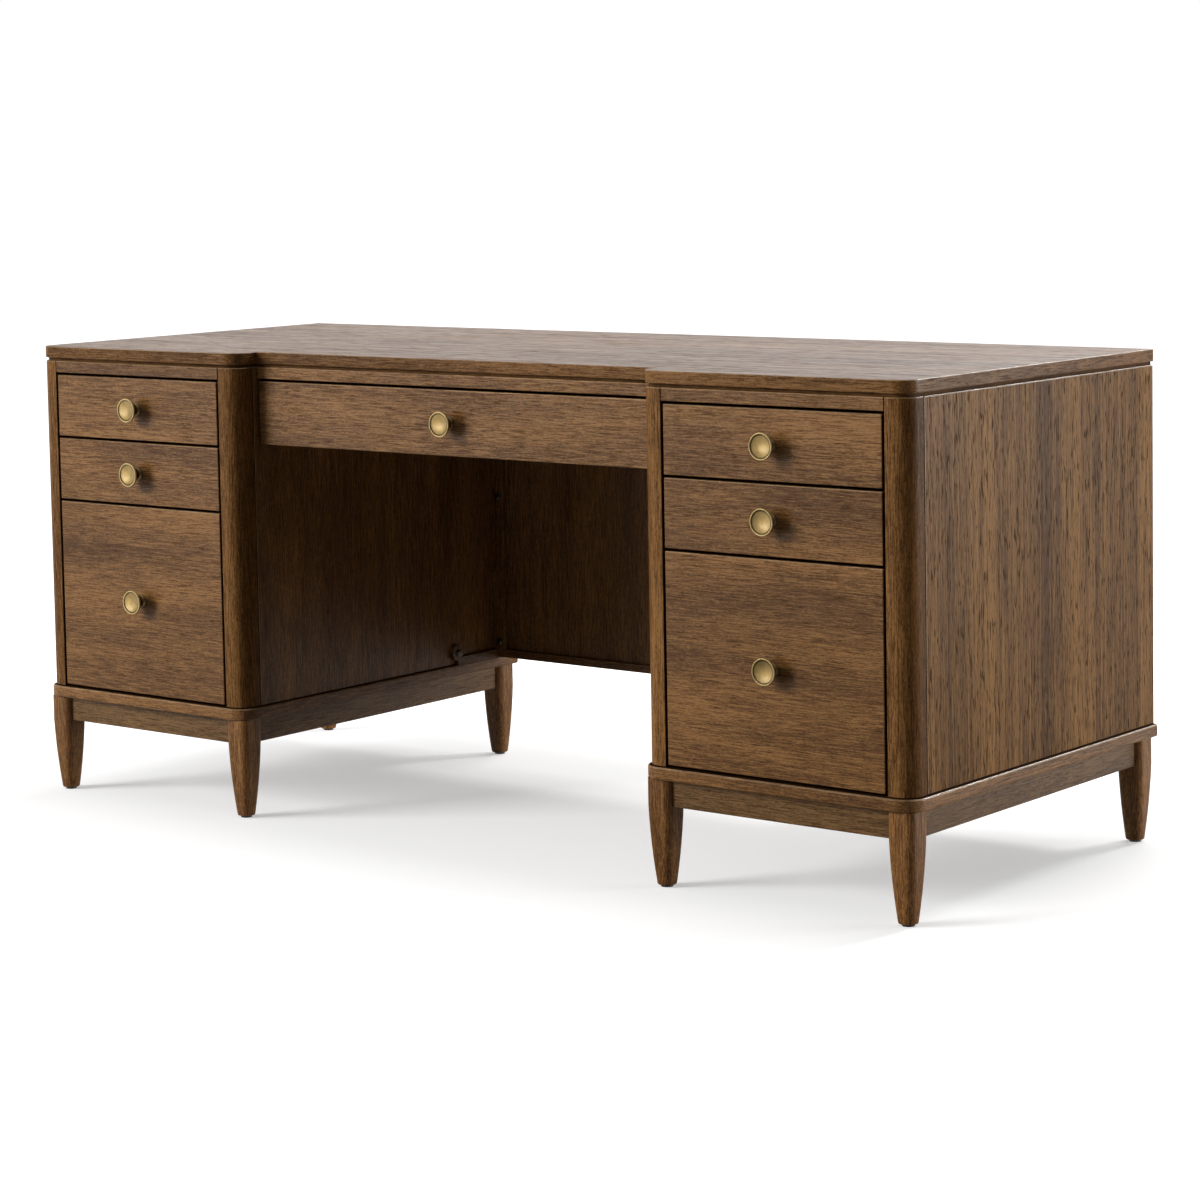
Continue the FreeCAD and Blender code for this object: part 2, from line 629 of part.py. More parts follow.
def make_box(label, x, y, z, width, length, height, hole_height):
    inside_x, inside_width = f"{x} + box_wall", f"({width} - 2 * box_wall)"
    inner_front = shaped_board(label + "_inner_front", inside_x, y, z, inside_width, "box_wall", height)
    hole = new_sketch(inner_front, label + "_circle", "XZ_Plane")
    draw_circle(hole, f"{inside_width} / 2", hole_height, screw_hole)
    bore(inner_front, label + "_hole", hole)
    boards = [
        inner_front,
        board(label + "_left", x, y, z, "box_wall", length, height),
        board(label + "_right", f"{x} + {width} - box_wall", y, z, "box_wall", length, height),
        board(label + "_back", inside_x, f"{y} + {length} - box_wall", z, inside_width, "box_wall", height),
        board(label + "_bottom", inside_x, f"{y} + box_wall", f"{z} + bottom_recess",
              inside_width, f"{length} - 2 * box_wall", "box_floor"),
    ]
    group(label, boards)


# Packing strips that bring a runner out from the side panels to the posts' inner faces
def make_packers(name, middle, bottom):
    height = "(runner_height + 2 * packer_margin)"
    packers = []
    for hand, x in (("left", f"{middle} - pedestal_width / 2 + panel_thickness"),
                    ("right", f"{middle} + {opening_width} / 2")):
        packers.append(board(f"{name}_{hand}_packer", x, f"{case_front} + post_depth",
                             f"{bottom} + box_lift + runner_rise - {height} / 2",
                             "post_width - panel_thickness",
                             f"front_thickness + {pedestal_box_length} - post_depth", height))
    return packers


def make_pedestal_drawers(name, side, channels, packers):
    step = "(drawer_gap + shallow_height)"
    file_height = f"({opening_top} - {case_bottom} - 2 * {step} - 2 * drawer_gap)"
    middle = on_side(side, pedestal_middle)
    for level, bottom, height, drop in (
        ("top", f"({opening_top} - {step})", "shallow_height", "box_drop"),
        ("middle", f"({opening_top} - 2 * {step})", "shallow_height", "box_drop"),
        ("file", f"({case_bottom} + drawer_gap)", file_height, "file_box_drop"),
    ):
        drawer = f"{name}_{level}_drawer"
        make_drawer(drawer, middle, opening_width, case_front, bottom, height, drop,
                    pedestal_box_length, level == "file", channels)
        packers.extend(make_packers(drawer, middle, bottom))


def check_document():
    for item in doc.Objects:
        if "Invalid" in item.State or "Error" in item.State:
            raise RuntimeError(f"{item.Label} failed: {item.State}")
    for item in nodes:
        if item.Shape.isNull() or not item.Shape.isValid():
            raise RuntimeError(item.Label + " has no valid shape")


glides, top_cleats, channels, packers = [], [], [], []
make_top()
for name, side in hands:
    make_case(name, side)
    make_base_board(name, side)
    make_leg_frame(name, side, glides)
    top_cleats.extend(make_top_cleats(name, side))
    make_pedestal_drawers(name, side, channels, packers)
make_kneehole()
make_drawer("centre_drawer", "0", f"(2 * {inner_face})", centre_front,
            f"({opening_top} - drawer_gap - shallow_height)", "shallow_height", "box_drop",
            centre_box_length, False, channels)
group("glides", glides)
group("top_fixing_cleats", top_cleats)
group("runner_channels", channels)
group("runner_packers", packers)
doc.recompute()
check_document()

os.makedirs("parts", exist_ok=True)
for item in nodes:
    item.Shape.exportStep(f"parts/{item.Label}.step")
print(len(nodes), "nodes")
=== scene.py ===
import bpy
import json
import math
from mathutils import Matrix, Vector


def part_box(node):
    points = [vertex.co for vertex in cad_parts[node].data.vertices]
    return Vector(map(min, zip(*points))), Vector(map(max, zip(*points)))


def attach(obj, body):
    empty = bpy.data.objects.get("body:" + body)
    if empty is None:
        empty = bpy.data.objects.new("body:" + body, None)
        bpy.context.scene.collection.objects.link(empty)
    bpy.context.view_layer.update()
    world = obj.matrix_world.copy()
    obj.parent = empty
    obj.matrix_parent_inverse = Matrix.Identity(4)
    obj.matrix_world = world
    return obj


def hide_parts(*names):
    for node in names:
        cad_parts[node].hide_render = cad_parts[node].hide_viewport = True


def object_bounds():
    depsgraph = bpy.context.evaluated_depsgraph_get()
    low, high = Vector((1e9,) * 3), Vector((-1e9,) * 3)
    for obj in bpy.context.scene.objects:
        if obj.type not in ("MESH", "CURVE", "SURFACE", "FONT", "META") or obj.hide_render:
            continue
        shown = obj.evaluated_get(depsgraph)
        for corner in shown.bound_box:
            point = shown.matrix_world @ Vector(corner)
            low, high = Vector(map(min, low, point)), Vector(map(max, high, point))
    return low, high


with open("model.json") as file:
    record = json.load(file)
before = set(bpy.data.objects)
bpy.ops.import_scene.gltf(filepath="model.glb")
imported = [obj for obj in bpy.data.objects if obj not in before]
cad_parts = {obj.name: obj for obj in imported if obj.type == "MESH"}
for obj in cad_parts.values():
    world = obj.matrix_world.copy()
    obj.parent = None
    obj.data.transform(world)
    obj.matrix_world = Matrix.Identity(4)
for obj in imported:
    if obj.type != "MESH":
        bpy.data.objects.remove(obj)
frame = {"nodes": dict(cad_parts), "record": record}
cadLow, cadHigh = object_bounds()
cadNodes = frame["nodes"]
bodies = frame["record"]["behaviour"]["bodies"]
bodyOf = {node: body for body, members in bodies.items() for node in members}
sides = ("left", "right")
rows = ("top", "middle", "file")
drawers = [f"{side}_{row}_drawer" for side in sides for row in rows] + ["centre_drawer"]
print("frame loaded,", len(cadNodes), "nodes")

# shares of a face's normal along one axis, from a flat face down to the start of an eased edge
facing = {"flat": 0.99, "square": 0.95, "steep": 0.9, "mostly": 0.5, "eased": 0.2}


# working habits: use one piece, pick its edges or faces by place, round, smooth
def deselectAll():
    bpy.ops.object.select_all(action="DESELECT")


def useOnly(piece):
    deselectAll()
    piece.select_set(True)
    bpy.context.view_layer.objects.active = piece


def objectMode():
    bpy.ops.object.mode_set(mode="OBJECT")


def editMode():
    bpy.ops.object.mode_set(mode="EDIT")


def pickAll(piece):
    useOnly(piece)
    editMode()
    bpy.ops.mesh.select_all(action="SELECT")


def startPicking(piece, kind):
    useOnly(piece)
    editMode()
    bpy.ops.mesh.select_mode(type=kind)
    bpy.ops.mesh.select_all(action="DESELECT")
    objectMode()


def pickEdges(piece, wanted):
    startPicking(piece, "EDGE")
    points = [vertex.co for vertex in piece.data.vertices]
    for edge in piece.data.edges:
        edge.select = wanted(points[edge.vertices[0]], points[edge.vertices[1]])
    editMode()


def pickFaces(piece, wanted):
    startPicking(piece, "FACE")
    for face in piece.data.polygons:
        face.select = wanted(face.normal, face.center)
    editMode()


def near(first, second, reach=0.00005):
    return abs(first - second) < reach


def upright(a, b):
    return near(a.x, b.x) and near(a.y, b.y)


def level(a, b, height):
    return near(a.z, height) and near(b.z, height)


def isEased(normal, flattest=facing["eased"]):
    return flattest < normal.z < facing["square"]


def isSideways(normal):
    return abs(normal.x) > abs(normal.y)


def addBlock(name, low, high):
    deselectAll()
    low, high = Vector(low), Vector(high)
    bpy.ops.mesh.primitive_cube_add(size=1, location=(low + high) / 2)
    piece = bpy.context.object
    piece.name = piece.data.name = name
    piece.scale = high - low
    bpy.ops.object.transform_apply(location=True, rotation=True, scale=True)
    return piece


def cutAt(piece, place, normal):
    pickAll(piece)
    bpy.ops.mesh.bisect(plane_co=place, plane_no=normal)
    objectMode()


def roundEdges(piece, width, steps, wanted):
    pickEdges(piece, wanted)
    bpy.ops.mesh.bevel(offset=width, offset_type="OFFSET", segments=steps, profile=0.5,
                       affect="EDGES")
    objectMode()


def easeAll(piece, width, steps=3):
    roundEdges(piece, width, steps, lambda a, b: True)


def smooth(piece, angle=40):
    useOnly(piece)
    bpy.ops.object.shade_smooth_by_angle(angle=math.radians(angle))
    flat = piece.modifiers.new("flatFaces", "WEIGHTED_NORMAL")
    flat.keep_sharp = True
    bpy.ops.object.modifier_apply(modifier=flat.name)


def joinPieces(name, members):
    deselectAll()
    for member in members:
        member.select_set(True)
    bpy.context.view_layer.objects.active = members[0]
    bpy.ops.object.join()
    members[0].name = members[0].data.name = name
    return members[0]


def copyTo(piece, name, offset):
    double = piece.copy()
    double.data = piece.data.copy()
    double.name = double.data.name = name
    double.data.transform(Matrix.Translation(offset))
    bpy.context.collection.objects.link(double)
    return double


def paint(piece, look):
    piece.data.materials.clear()
    piece.data.materials.append(look)


def repaint(piece, look, wanted):
    piece.data.materials.append(look)
    last = len(piece.data.materials) - 1
    for face in piece.data.polygons:
        if wanted(face.normal, face.center):
            face.material_index = last


# upper eased edges are painted pale as a painted highlight and given more gloss, with the grain along X
# at front and rear and along Y at the sides
def paintEdgeHighlights(piece, flattest=facing["eased"]):
    repaint(piece, paintedHighlightEdge, lambda normal, centre: isEased(normal, flattest))
    repaint(piece, paintedHighlightSide,
            lambda normal, centre: isEased(normal, flattest) and isSideways(normal))


# painted shade: the picked faces get the near-black oak
def darken(piece, wanted):
    repaint(piece, paintedShadeLook, wanted)


def standFor(piece, node):
    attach(piece, bodyOf[node])
    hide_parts(node)


# woods: the stain from dark to light, then how far each layer of a 3-D grain is drawn out
stainedOak = {
    "dark": (0.080, 0.034, 0.011), "middle": (0.150, 0.070, 0.022), "light": (0.240, 0.118, 0.041),
    "bands": ((0.93, 0.93, 0.93), (1.05, 1.04, 1.01)), "pore": (0.030, 0.014, 0.005),
    "poreDepth": 0.50, "roughness": (0.30, 0.42), "gloss": 0.14, "wander": 0.008, "waver": 0.0020,
    "mix": (0.30, 0.12, 0.62, 0.32),  # shares of figure, rings, fibre and fleck in the tone
    "figure": (1.8, 13, 13), "rings": (2.4, 46, 46), "fibre": (24, 560, 560),
    "fleck": (190, 760, 760), "pores": (46, 700, 700),
}
topOak = dict(
    stainedOak, dark=(0.068, 0.029, 0.010), middle=(0.126, 0.059, 0.020), light=(0.195, 0.096, 0.035),
    poreDepth=0.60, roughness=(0.26, 0.38), gloss=0.10, lacquer=(0.06, 0.22),
    mix=(0.20, 0.28, 0.38, 0.26), figure=(0.7, 3, 3), rings=(1.0, 18, 18), fibre=(3.5, 75, 75),
    fleck=(46, 420, 420), pores=(26, 430, 430))
panelOak = dict(
    stainedOak, dark=(0.078, 0.034, 0.010), middle=(0.148, 0.070, 0.020), light=(0.232, 0.116, 0.036),
    bands=((0.91, 0.91, 0.90), (1.07, 1.05, 1.00)), pore=(0.022, 0.012, 0.005), poreDepth=0.78,
    gloss=0.05, mix=(0.46, 0.32, 0.54, 0.24), figure=(0.40, 11, 11), rings=(1.6, 150, 150),
    fibre=(9, 400, 400), fleck=(110, 760, 760), pores=(44, 370, 370))
legOak = dict(
    stainedOak, dark=(0.098, 0.040, 0.012), middle=(0.184, 0.082, 0.025), light=(0.288, 0.138, 0.045))
# posts: darkened on the side of the round as painted shade
postOak = dict(stainedOak, gloss=0.04, roundShade=(0.66, 0.60, 0.50))
# aprons: a darker copy of the stain, painted shade under the base board's overhang
apronShadedOak = dict(
    stainedOak, dark=(0.058, 0.027, 0.010), middle=(0.108, 0.056, 0.020), light=(0.173, 0.094, 0.037))
slabEdgeOak = dict(
    stainedOak, dark=(0.070, 0.030, 0.009), middle=(0.130, 0.060, 0.019), light=(0.203, 0.099, 0.034),
    gloss=0.07)
# painted highlight: a paler, glossier copy of the stained oak for upper eased edges, glossier still at
# the sides
paintedHighlightOak = dict(
    stainedOak, dark=(0.16, 0.085, 0.035), middle=(0.24, 0.135, 0.060), light=(0.32, 0.19, 0.09),
    roughness=(0.28, 0.36), gloss=0.28)
paintedHighlightSideOak = dict(paintedHighlightOak, gloss=0.6)
# painted shade: a near-black oak for faces in gaps, at seams and underneath
paintedShadeOak = dict(
    stainedOak, dark=(0.018, 0.008, 0.003), middle=(0.028, 0.013, 0.005), light=(0.040, 0.019, 0.007),
    pore=(0.010, 0.005, 0.002), roughness=(0.55, 0.65), gloss=0.04)
# painted shade: a dark oak for the rebate under the top, where shade falls
gapShadeOak = dict(
    paintedShadeOak, dark=(0.045, 0.021, 0.007), middle=(0.070, 0.033, 0.012), light=(0.10, 0.048, 0.017))
boxWood = dict(
    stainedOak, dark=(0.30, 0.20, 0.11), middle=(0.42, 0.30, 0.18), light=(0.52, 0.39, 0.25),
    pore=(0.20, 0.12, 0.06), roughness=(0.5, 0.6))

# the turn that lays the grain along an axis, each layer's detail and roughness, and what all woods share
grainTurn = {"X": (0, 0, 0), "Y": (0, 0, -math.pi / 2), "Z": (0, math.pi / 2, 0)}
grainDetail = {"figure": (2, 0.5), "rings": (3, 0.55), "fibre": (3, 0.6), "fleck": (1, 0.5),
               "pores": (1, 0.5)}
grainRules = {
    "boardShift": (1.37, 0.43, 0.71),  # moves the grain on for every board
    "wander": (2.2, 9, 9), "waver": (16, 70, 70), "bendDetail": (2, 0.5), "noiseMean": 0.5,
    "toneStops": (0.40, 0.50, 0.60), "bandStops": (0.38, 0.62), "poreStops": (0.58, 0.64),
    "wornStops": (0.3, 0.7), "filmStops": (0.35, 0.65), "poreLift": 0.08, "crowding": -0.16,
    "poreRoughness": 0.8, "filmRoughness": 0.3, "poreBump": 0.30, "poreHollow": 0.0004,
}
boardCount = -2  # goes up with every wood made, and its start picks the boards' figure


def addNode(tree, kind, **settings):
    made = tree.nodes.new(kind)
    for name, value in settings.items():
        setattr(made, name, value)
    return made


def feed(tree, socket, source):
    if isinstance(source, bpy.types.NodeSocket):
        tree.links.new(source, socket)
    else:
        isColour = isinstance(source, tuple) and len(socket.default_value) == 4
        socket.default_value = (*source, 1) if isColour else source


def fedNode(tree, kind, operation, sources):
    made = addNode(tree, kind, operation=operation)
    for socket, source in zip(made.inputs, sources):
        feed(tree, socket, source)
    return made


def mathNode(tree, operation, *sources):
    return fedNode(tree, "ShaderNodeMath", operation, sources).outputs[0]


def vectorNode(tree, operation, *sources):
    made = fedNode(tree, "ShaderNodeVectorMath", operation, sources)
    return made.outputs["Value" if operation in ("LENGTH", "DOT_PRODUCT") else "Vector"]


def mixColours(tree, mode, amount, first, second):
    blend = addNode(tree, "ShaderNodeMix", data_type="RGBA", blend_type=mode)
    sockets = (blend.inputs["Factor"], blend.inputs[6], blend.inputs[7])  # 6 and 7 take colours
    for socket, source in zip(sockets, (amount, first, second)):
        feed(tree, socket, source)
    return blend.outputs[2]  # the mixed colour


def grainNoise(tree, along, stretch, detail, roughness, output="Fac"):
    spread = addNode(tree, "ShaderNodeMapping")
    spread.inputs["Scale"].default_value = stretch
    tree.links.new(along, spread.inputs["Vector"])
    noise = addNode(tree, "ShaderNodeTexNoise")
    tree.links.new(spread.outputs["Vector"], noise.inputs["Vector"])
    for socket, value in (("Scale", 1), ("Detail", detail), ("Roughness", roughness)):
        noise.inputs[socket].default_value = value
    return noise.outputs[output]


def ramp(tree, source, places, colours):
    made = addNode(tree, "ShaderNodeValToRGB")
    elements = made.color_ramp.elements
    while len(elements) < len(places):
        elements.new(0.5)
    for element, place, colour in zip(elements, places, colours):
        element.position = place
        element.color = (*colour, 1) if isinstance(colour, tuple) else (colour, colour, colour, 1)
    tree.links.new(source, made.inputs["Fac"])
    return made.outputs["Color"]


def addBump(tree, shader, height, strength, distance, invert=False):
    bump = addNode(tree, "ShaderNodeBump", invert=invert)
    bump.inputs["Strength"].default_value = strength
    bump.inputs["Distance"].default_value = distance
    tree.links.new(height, bump.inputs["Height"])
    tree.links.new(bump.outputs["Normal"], shader.inputs["Normal"])


def newLook(name):
    look = bpy.data.materials.new(name)
    look.use_nodes = True
    return look, look.node_tree, look.node_tree.nodes["Principled BSDF"]


# the grain runs along X, Y or Z, wanders a little, and is moved on for every board
def layGrain(tree, grain, wood):
    place = addNode(tree, "ShaderNodeTexCoord")
    turned = addNode(tree, "ShaderNodeMapping")
    turned.inputs["Rotation"].default_value = grainTurn[grain]
    turned.inputs["Location"].default_value = [shift * boardCount for shift in grainRules["boardShift"]]
    tree.links.new(place.outputs["Object"], turned.inputs["Vector"])
    straight = along = turned.outputs["Vector"]
    for bend in ("wander", "waver"):
        noise = grainNoise(tree, straight, grainRules[bend], *grainRules["bendDetail"], "Color")
        drift = vectorNode(tree, "SUBTRACT", noise, (grainRules["noiseMean"],) * 3)
        across = vectorNode(tree, "MULTIPLY", drift, (0, wood[bend], wood[bend]))
        along = vectorNode(tree, "ADD", along, across)
    return {layer: grainNoise(tree, along, wood[layer], *detail)
            for layer, detail in grainDetail.items()}


def makeWood(name, grain, wood=stainedOak):
    global boardCount
    boardCount += 1
    look, tree, shader = newLook(name)
    layers = layGrain(tree, grain, wood)
    tone = grainRules["noiseMean"] - grainRules["noiseMean"] * sum(wood["mix"])
    for layer, share in zip(("figure", "rings", "fibre", "fleck"), wood["mix"]):
        tone = mathNode(tree, "MULTIPLY_ADD", layers[layer], share, tone)
    stain = (wood["dark"], wood["middle"], wood["light"])
    base = ramp(tree, tone, grainRules["toneStops"], stain)
    bands = ramp(tree, layers["figure"], grainRules["bandStops"], wood["bands"])
    base = mixColours(tree, "MULTIPLY", 1.0, base, bands)
    # painted shade along the rounds, where the roundShade attribute is set
    if "roundShade" in wood:
        roundShadeNode = addNode(tree, "ShaderNodeAttribute", attribute_name="roundShade")
        base = mixColours(tree, "MULTIPLY", roundShadeNode.outputs["Fac"], base, wood["roundShade"])
    # pores crowd where the rings are dark, and lie rough and hollow in the surface
    lifted = mathNode(tree, "ADD", layers["pores"], grainRules["poreLift"])
    crowded = mathNode(tree, "MULTIPLY_ADD", layers["rings"], grainRules["crowding"], lifted)
    poreMask = ramp(tree, crowded, grainRules["poreStops"], (0.0, wood["poreDepth"]))
    colour = mixColours(tree, "MIX", poreMask, base, wood["pore"])
    tree.links.new(colour, shader.inputs["Base Color"])
    polished, dull = wood["roughness"]
    worn = ramp(tree, layers["fibre"], grainRules["wornStops"], (dull, polished))
    worn = mixColours(tree, "MIX", poreMask, worn, (grainRules["poreRoughness"],) * 3)
    tree.links.new(worn, shader.inputs["Roughness"])
    shader.inputs["Specular IOR Level"].default_value = wood["gloss"]
    if "lacquer" in wood:
        film = ramp(tree, layers["fibre"], grainRules["filmStops"], wood["lacquer"])
        film = mixColours(tree, "MIX", poreMask, film, (0.0, 0.0, 0.0))
        tree.links.new(film, shader.inputs["Coat Weight"])
        shader.inputs["Coat Roughness"].default_value = grainRules["filmRoughness"]
    addBump(tree, shader, poreMask, grainRules["poreBump"], grainRules["poreHollow"], invert=True)
    return look


# metal and plastic: clouds in the colour, fine lines or a moulded grain in the roughness and the bump
smoothRules = {"cloudDetail": (3, 0.6), "cloudStops": (0.35, 0.65), "lineDetail": (2, 0.6),
               "lineStops": (0.3, 0.7), "lineHeight": 0.0001, "coatRoughness": 0.2}


def makeSmooth(name, finish, turned=False):
    look, tree, shader = newLook(name)
    place = addNode(tree, "ShaderNodeTexCoord")
    evenly = (finish["clouds"],) * 3
    clouds = grainNoise(tree, place.outputs["Object"], evenly, *smoothRules["cloudDetail"])
    colour = ramp(tree, clouds, smoothRules["cloudStops"], (finish["dull"], finish["clean"]))
    tree.links.new(colour, shader.inputs["Base Color"])
    along = place.outputs["UV" if turned else "Object"]
    lines = grainNoise(tree, along, finish["lines"], *smoothRules["lineDetail"])
    polished, dull = finish["roughness"]
    worn = ramp(tree, lines, smoothRules["lineStops"], (dull, polished))
    tree.links.new(worn, shader.inputs["Roughness"])
    addBump(tree, shader, lines, finish["relief"], smoothRules["lineHeight"])
    shader.inputs["Metallic"].default_value = finish["metallic"]
    if turned:
        around = addNode(tree, "ShaderNodeTangent", direction_type="UV_MAP", uv_map="turning")
        tree.links.new(around.outputs["Tangent"], shader.inputs["Tangent"])
        shader.inputs["Anisotropic"].default_value = finish["stretch"]
        shader.inputs["Coat Weight"].default_value = finish["coat"]
        shader.inputs["Coat Roughness"].default_value = smoothRules["coatRoughness"]
    return look


dish = {"dull": (0.225, 0.146, 0.045), "clean": (0.285, 0.190, 0.060), "clouds": 90,
        "lines": (0, 1900, 0), "roughness": (0.34, 0.44), "relief": 0.05, "metallic": 1.0,
        "stretch": 0.45, "coat": 0.45}
# painted highlight and shade: the rim is a brighter copy of the dish brass, the neck a darker one
rim = dict(dish, dull=(0.43, 0.31, 0.115), clean=(0.53, 0.39, 0.155), stretch=0.3, coat=0.3)
neck = dict(dish, dull=(0.090, 0.060, 0.024), clean=(0.120, 0.083, 0.036), stretch=0.3, coat=0.2)
bronze = {"dull": (0.024, 0.018, 0.014), "clean": (0.050, 0.037, 0.028), "clouds": 260,
          "lines": (900, 900, 900), "roughness": (0.28, 0.44), "relief": 0.08, "metallic": 0.8}
steel = {"dull": (0.51, 0.51, 0.52), "clean": (0.58, 0.58, 0.59), "clouds": 30,
         "lines": (420, 5, 420), "roughness": (0.30, 0.46), "relief": 0.05, "metallic": 1.0}
plastic = {"dull": (0.009, 0.008, 0.008), "clean": (0.020, 0.019, 0.018), "clouds": 220,
           "lines": (1500, 1500, 1500), "roughness": (0.5, 0.68), "relief": 0.2, "metallic": 0.0}
# painted shade for gaps, seams, undersides and the rebate, and pale painted highlights for upper edges
paintedShadeLook = makeWood("oakPaintedShade", "X", paintedShadeOak)
gapShadeLook = makeWood("oakShadowGap", "X", gapShadeOak)
paintedHighlightEdge = makeWood("oakPaintedHighlightEdge", "X", paintedHighlightOak)
paintedHighlightSide = makeWood("oakPaintedHighlightSide", "Y", paintedHighlightSideOak)
dishBrass = makeSmooth("dishBrass", dish, turned=True)
rimBrassLit = makeSmooth("rimBrassLit", rim, turned=True)
neckBrassShaded = makeSmooth("neckBrassShaded", neck, turned=True)
darkBronze = makeSmooth("darkBronze", bronze)
runnerSteel = makeSmooth("runnerSteel", steel)
blackGlide = makeSmooth("blackGlide", plastic)
print("finishes ready")


# top: a slab with two lobes pushed forward over the pedestals, rebated below, its edges banded
deskTop = {"frontRound": 0.029, "frontSteps": 16, "rearRound": 0.003, "rearSteps": 4,
           "edge": 0.0012, "edgeSteps": 3, "rebateDepth": 0.005, "rebateHeight": 0.005,
           "overhang": 0.001, "centreLip": 0.003, "flatWithin": 0.01, "gapStart": 0.0005}


def isSlabEdge(normal):
    return abs(normal.z) < facing["steep"]


def makeDeskTop():
    low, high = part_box("desk_top")
    lobe = -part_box("left_inner_post")[1].x - deskTop["overhang"]
    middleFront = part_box("centre_top_rail")[0].y - deskTop["centreLip"]
    under = low.z + deskTop["rebateHeight"]
    slab = addBlock("desk_top_slab", (low.x, middleFront, under), high)
    for cut in (-lobe, lobe):
        cutAt(slab, (cut, 0, 0), (1, 0, 0))
    pickFaces(slab, lambda normal, centre: normal.y < -facing["steep"] and abs(centre.x) > lobe)
    forward = (0, low.y - middleFront, 0)
    bpy.ops.mesh.extrude_region_move(TRANSFORM_OT_translate={"value": forward})
    bpy.ops.mesh.select_all(action="SELECT")
    bpy.ops.mesh.dissolve_limited(angle_limit=deskTop["flatWithin"])
    objectMode()
    roundEdges(slab, deskTop["frontRound"], deskTop["frontSteps"],
               lambda a, b: upright(a, b) and near(a.y, low.y))
    roundEdges(slab, deskTop["rearRound"], deskTop["rearSteps"],
               lambda a, b: upright(a, b) and near(a.y, high.y))
    roundEdges(slab, deskTop["edge"], deskTop["edgeSteps"],
               lambda a, b: level(a, b, high.z) or level(a, b, under))
    pickFaces(slab, lambda normal, centre: normal.z < -facing["flat"] and near(centre.z, under))
    bpy.ops.mesh.inset(thickness=deskTop["rebateDepth"] - deskTop["edge"])
    downward = (0, 0, -deskTop["rebateHeight"])
    bpy.ops.mesh.extrude_region_move(TRANSFORM_OT_translate={"value": downward})
    objectMode()
    smooth(slab)
    paint(slab, makeWood("oakTop", "X", topOak))
    repaint(slab, makeWood("oakTopFrontEdge", "X", slabEdgeOak),
            lambda normal, centre: isSlabEdge(normal))
    repaint(slab, makeWood("oakTopSideEdge", "Y", slabEdgeOak),
            lambda normal, centre: isSlabEdge(normal) and isSideways(normal))
    # pale painted highlights on the upper edges, and painted shade on the rebate below
    paintEdgeHighlights(slab)
    repaint(slab, gapShadeLook, lambda normal, centre: centre.z < under - deskTop["gapStart"])
    standFor(slab, "desk_top")


makeDeskTop()
print("top made")


# faces of boards that look into a gap or face down are painted dark as painted shade, and the front edge
# of side panels is painted pale as a painted highlight
boardGap = {"frontTurn": -0.3, "panelEdge": (-0.5, -0.15), "panelUpright": 0.1}


def isFrontGap(normal):
    beside = boardGap["frontTurn"] < normal.y < facing["square"] and not isEased(normal)
    return beside or normal.z < -facing["mostly"]


def isRailGap(normal):
    return abs(normal.x) > facing["mostly"] or normal.z < -facing["mostly"]


def isPanelGap(normal):
    return normal.y < -facing["mostly"] or normal.z < -facing["eased"]


def isPanelEdge(normal):
    start, end = boardGap["panelEdge"]
    return start < normal.y < end and abs(normal.z) < boardGap["panelUpright"]


# plain boards of the carcase and the drawer fronts, with eased edges
boards = {
    "outer_side_panel": {"grain": "Z", "ease": 0.0022, "wood": panelOak, "gap": isPanelGap},
    "inner_side_panel": {"grain": "Z", "ease": 0.0018, "wood": stainedOak, "gap": isPanelGap},
    "back_panel": {"grain": "Z", "ease": 0.0006, "wood": stainedOak},
    "top_rail": {"grain": "X", "ease": 0.0016, "wood": stainedOak, "gap": isRailGap},
    "modesty_panel": {"grain": "Z", "ease": 0.0006, "wood": stainedOak},
    "bottom_rail": {"grain": "X", "ease": 0.0015, "wood": stainedOak},
    "drawer_front": {"grain": "X", "ease": 0.0019, "wood": stainedOak, "gap": isFrontGap},
}


def makeBoard(node, settings):
    board = addBlock(node + "_board", *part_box(node))
    easeAll(board, settings["ease"])
    smooth(board)
    paint(board, makeWood("oak_" + node, settings["grain"], settings["wood"]))
    # pale painted highlights on upper edges and on the side panels' front edge, painted shade on faces
    # in gaps and underneath
    paintEdgeHighlights(board)
    if node.endswith("side_panel"):
        repaint(board, paintedHighlightEdge, lambda normal, centre: isPanelEdge(normal))
    if "gap" in settings:
        darken(board, lambda normal, centre: settings["gap"](normal))
    standFor(board, node)


for kind, settings in boards.items():
    for node in sorted(cadNodes):
        if node.endswith(kind):
            makeBoard(node, settings)
print("boards made")


# corner posts: one large round at the free front corner, fine easing at the seams and the ends
cornerPost = {"round": 0.028, "roundSteps": 16, "ease": 0.0016, "easeSteps": 3,
              "shadeFrom": 0.40, "shadeFull": 0.80}


# painted shade: the wood is darkened where the round turns to the side, away from the main light
def shadeRound(post, outward):
    shadeAmount = post.data.attributes.new("roundShade", "FLOAT", "FACE")
    start, full = cornerPost["shadeFrom"], cornerPost["shadeFull"]
    for face in post.data.polygons:
        share = (face.normal.x * outward - start) / (full - start)
        shadeAmount.data[face.index].value = min(max(share, 0), 1)


